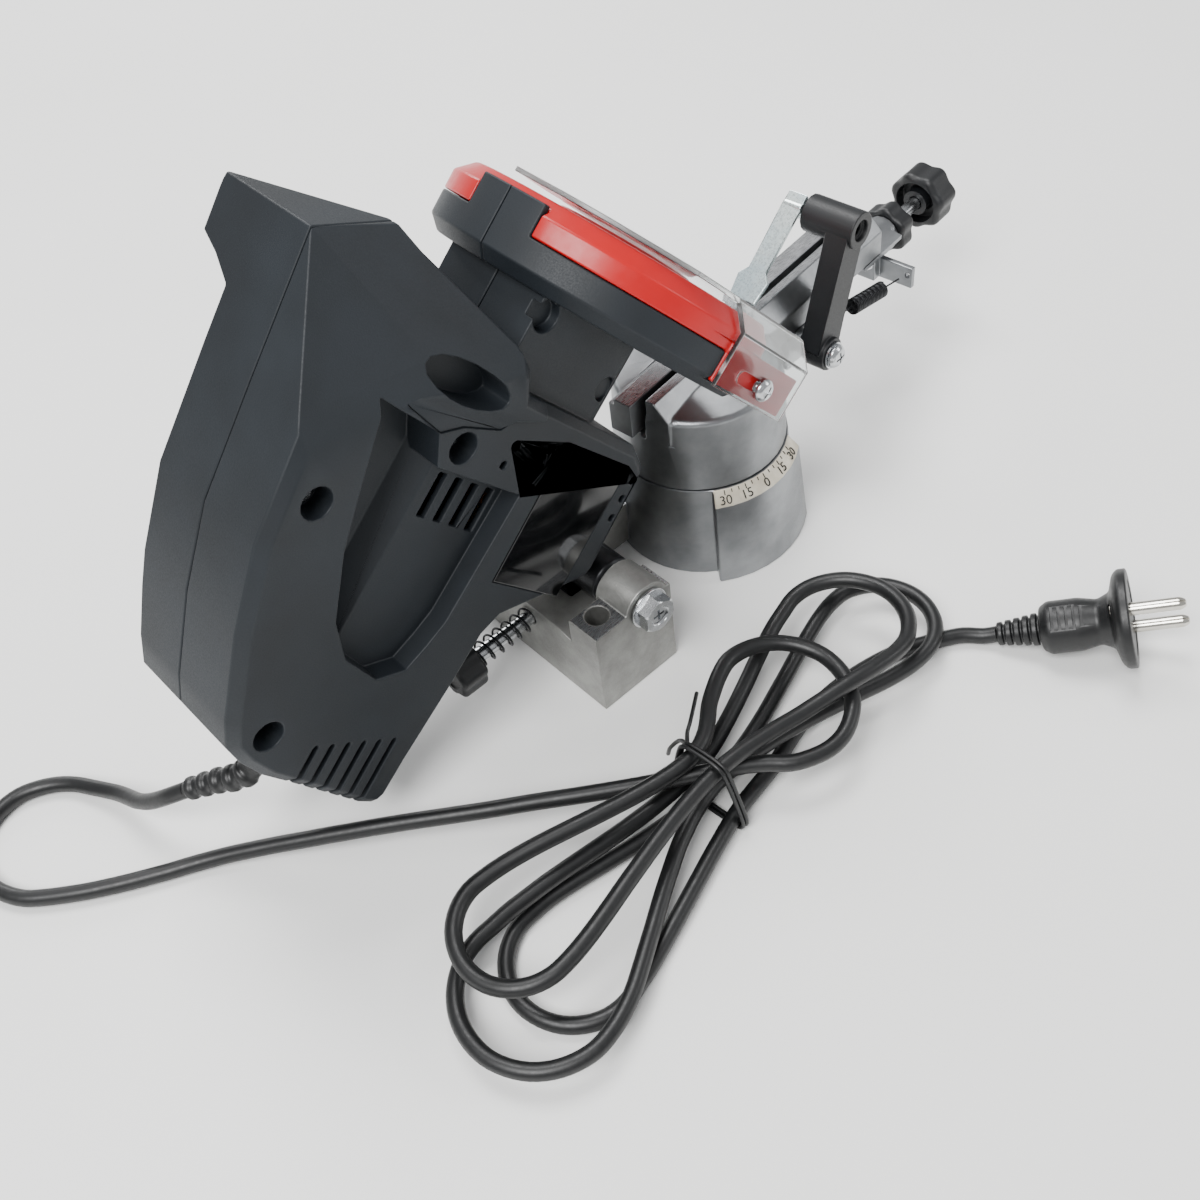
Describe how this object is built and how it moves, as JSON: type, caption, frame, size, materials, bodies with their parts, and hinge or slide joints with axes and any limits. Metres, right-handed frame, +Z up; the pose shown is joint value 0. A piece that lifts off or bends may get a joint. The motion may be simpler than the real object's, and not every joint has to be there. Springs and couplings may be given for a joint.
{
  "type": "electric chainsaw sharpener",
  "caption": "Bench saw-chain grinder: cast foot with swivelling chain vice, tilting motor head with guarded grinding wheel, clear shield and a mains cord tied in a hank.",
  "frame": {"origin": "middle of the foot bar's underside, on the bench", "axes": "+Z up; +X from the motor towards the vice and its feed knob; +Y to the back, away from the side with the label, with the joint between the housing halves at y = 0"},
  "size_m": [0.4841, 0.2732, 0.2169],
  "materials": {
    "cast_aluminium": "sand-blasted die casting, satin",
    "zinc_steel": "bright zinc plated",
    "machined_steel": "ground",
    "black_steel": "black oxide",
    "housing_abs": "fine spark texture",
    "black_plastic": "moulded, half matte",
    "gloss_label": "glossy black",
    "red_cover": "moulded, gloss",
    "clear_shield": "clear polycarbonate sheet",
    "abrasive": "bonded grit",
    "winding_copper": "enamelled wire",
    "laminate": "stacked sheet",
    "contact_brass": "stamped",
    "carbon": "pressed carbon",
    "cord_pvc": "soft PVC jacket",
    "pin_nickel": "nickel plated"
  },
  "bodies": {
    "base": {"base_casting": "cast_aluminium", "pivot_bolt": "zinc_steel", "pivot_nut": "zinc_steel", "depth_spring": "black_steel", "cord_lead": "cord_pvc", "cord_hank": "cord_pvc", "cord_tie": "cord_pvc", "plug_body": "cord_pvc", "plug_pin_1": "pin_nickel", "plug_pin_2": "pin_nickel"},
    "head": {"housing_front": "housing_abs", "housing_rear": "housing_abs", "housing_screw_1": "zinc_steel", "housing_screw_2": "zinc_steel", "housing_screw_3": "zinc_steel", "housing_screw_4": "zinc_steel", "label_plate": "gloss_label", "guard_cover": "red_cover", "shield_screw": "zinc_steel", "field_core": "laminate", "rear_bearing": "machined_steel", "front_bearing": "machined_steel", "brush_holder_1": "contact_brass", "brush_holder_2": "contact_brass", "carbon_brush_1": "carbon", "carbon_brush_2": "carbon", "rocker_switch": "black_plastic", "pivot_arm": "black_steel", "return_spring": "black_steel", "cord_clamp": "black_plastic", "cord_boot": "cord_pvc"},
    "rotor": {"motor_shaft": "machined_steel", "armature_core": "winding_copper", "commutator": "contact_brass", "cooling_fan": "black_plastic", "inner_flange": "machined_steel", "grinding_wheel": "abrasive", "wheel_nut": "machined_steel"},
    "shield_sheet": {"shield": "clear_shield"},
    "switch_rocker": {"switch_button": "black_plastic"},
    "vice": {"turntable": "cast_aluminium", "swivel_bolt": "zinc_steel", "end_bracket": "cast_aluminium", "bracket_screw": "zinc_steel"},
    "swivel_lock": {"swivel_lock_knob": "black_plastic"},
    "jaw": {"rear_jaw": "cast_aluminium"},
    "jaw_lever": {"jaw_clamp_lever": "black_steel"},
    "carriage": {"stop_carriage": "cast_aluminium", "arm_pivot_screw": "zinc_steel", "arm_spring": "black_steel"},
    "feed": {"feed_screw": "zinc_steel", "feed_knob": "black_plastic"},
    "feed_lock": {"lock_knob": "black_plastic"},
    "arm": {"pawl_arm": "black_plastic"},
    "pawl": {"pawl_strip": "zinc_steel", "pawl_screw": "zinc_steel"},
    "depth": {"depth_screw": "zinc_steel"},
    "depth_grip": {"depth_knob": "black_plastic"}
  },
  "joints": [
    {"name": "head_tilt", "type": "hinge", "parent": "base", "child": "head", "pos_m": [0.0067, 0, 0.0385], "axis": [0, 1, 0], "range_deg": [0, 9]},
    {"name": "wheel_spin", "type": "hinge", "parent": "head", "child": "rotor", "pos_m": [-0.02865, 0, 0.08063], "axis": [0.766, 0, 0.6428], "continuous": true},
    {"name": "shield_slide", "type": "slide", "parent": "head", "child": "shield_sheet", "axis": [-0.6428, 0, 0.766], "range_m": [-0.01, 0]},
    {"name": "switch_rock", "type": "hinge", "parent": "head", "child": "switch_rocker", "pos_m": [-0.06246, 0.0242, 0.1567], "axis": [-0.6428, 0, 0.766], "range_deg": [-5, 5]},
    {"name": "vice_swivel", "type": "hinge", "parent": "base", "child": "vice", "pos_m": [0.0827, 0, 0.0445], "axis": [0, 0, 1], "range_deg": [-37, 23]},
    {"name": "swivel_lock_turn", "type": "hinge", "parent": "vice", "child": "swivel_lock", "pos_m": [0.0827, 0, 0.0275], "axis": [0, 0, 1], "range_deg": [-180, 0]},
    {"name": "jaw_lever_turn", "type": "hinge", "parent": "vice", "child": "jaw_lever", "pos_m": [0.07818, 0.03682, 0.074], "axis": [-0.1219, 0.9925, 0], "range_deg": [0, 100]},
    {"name": "jaw_slide", "type": "slide", "parent": "vice", "child": "jaw", "axis": [-0.1219, 0.9925, 0], "range_m": [0, 0.002]},
    {"name": "feed_turn", "type": "hinge", "parent": "carriage", "child": "feed", "pos_m": [0.18196, 0.01219, 0.06], "axis": [0.9925, 0.1219, 0], "range_deg": [-1260, 1260]},
    {"name": "carriage_slide", "type": "slide", "parent": "vice", "child": "carriage", "axis": [0.9925, 0.1219, 0], "range_m": [-0.0035, 0.0035]},
    {"name": "feed_lock_turn", "type": "hinge", "parent": "vice", "child": "feed_lock", "pos_m": [0.21967, 0.01682, 0.06], "axis": [0.9925, 0.1219, 0], "range_deg": [-90, 0]},
    {"name": "arm_swing", "type": "hinge", "parent": "carriage", "child": "arm", "pos_m": [0.13687, -0.01451, 0.06], "axis": [-0.1219, 0.9925, 0], "range_deg": [-10, 0]},
    {"name": "pawl_swing", "type": "hinge", "parent": "arm", "child": "pawl", "pos_m": [0.15218, 0.00853, 0.108], "axis": [-0.1219, 0.9925, 0], "range_deg": [0, 35]},
    {"name": "depth_screw_slide", "type": "slide", "parent": "base", "child": "depth", "axis": [1, 0, 0], "range_m": [-0.008, 0]},
    {"name": "depth_knob_turn", "type": "hinge", "parent": "depth", "child": "depth_grip", "pos_m": [-0.052, -0.0076, 0.023], "axis": [1, 0, 0], "range_deg": [-2880, 0]}
  ],
  "couplings": [
    {"joint": "jaw_slide", "follows": "jaw_lever_turn", "m_per_rad": 0.00114},
    {"joint": "feed_turn", "follows": "carriage_slide", "rad_per_m": 6283.2},
    {"joint": "depth_knob_turn", "follows": "depth_screw_slide", "rad_per_m": 6283.2}
  ]
}
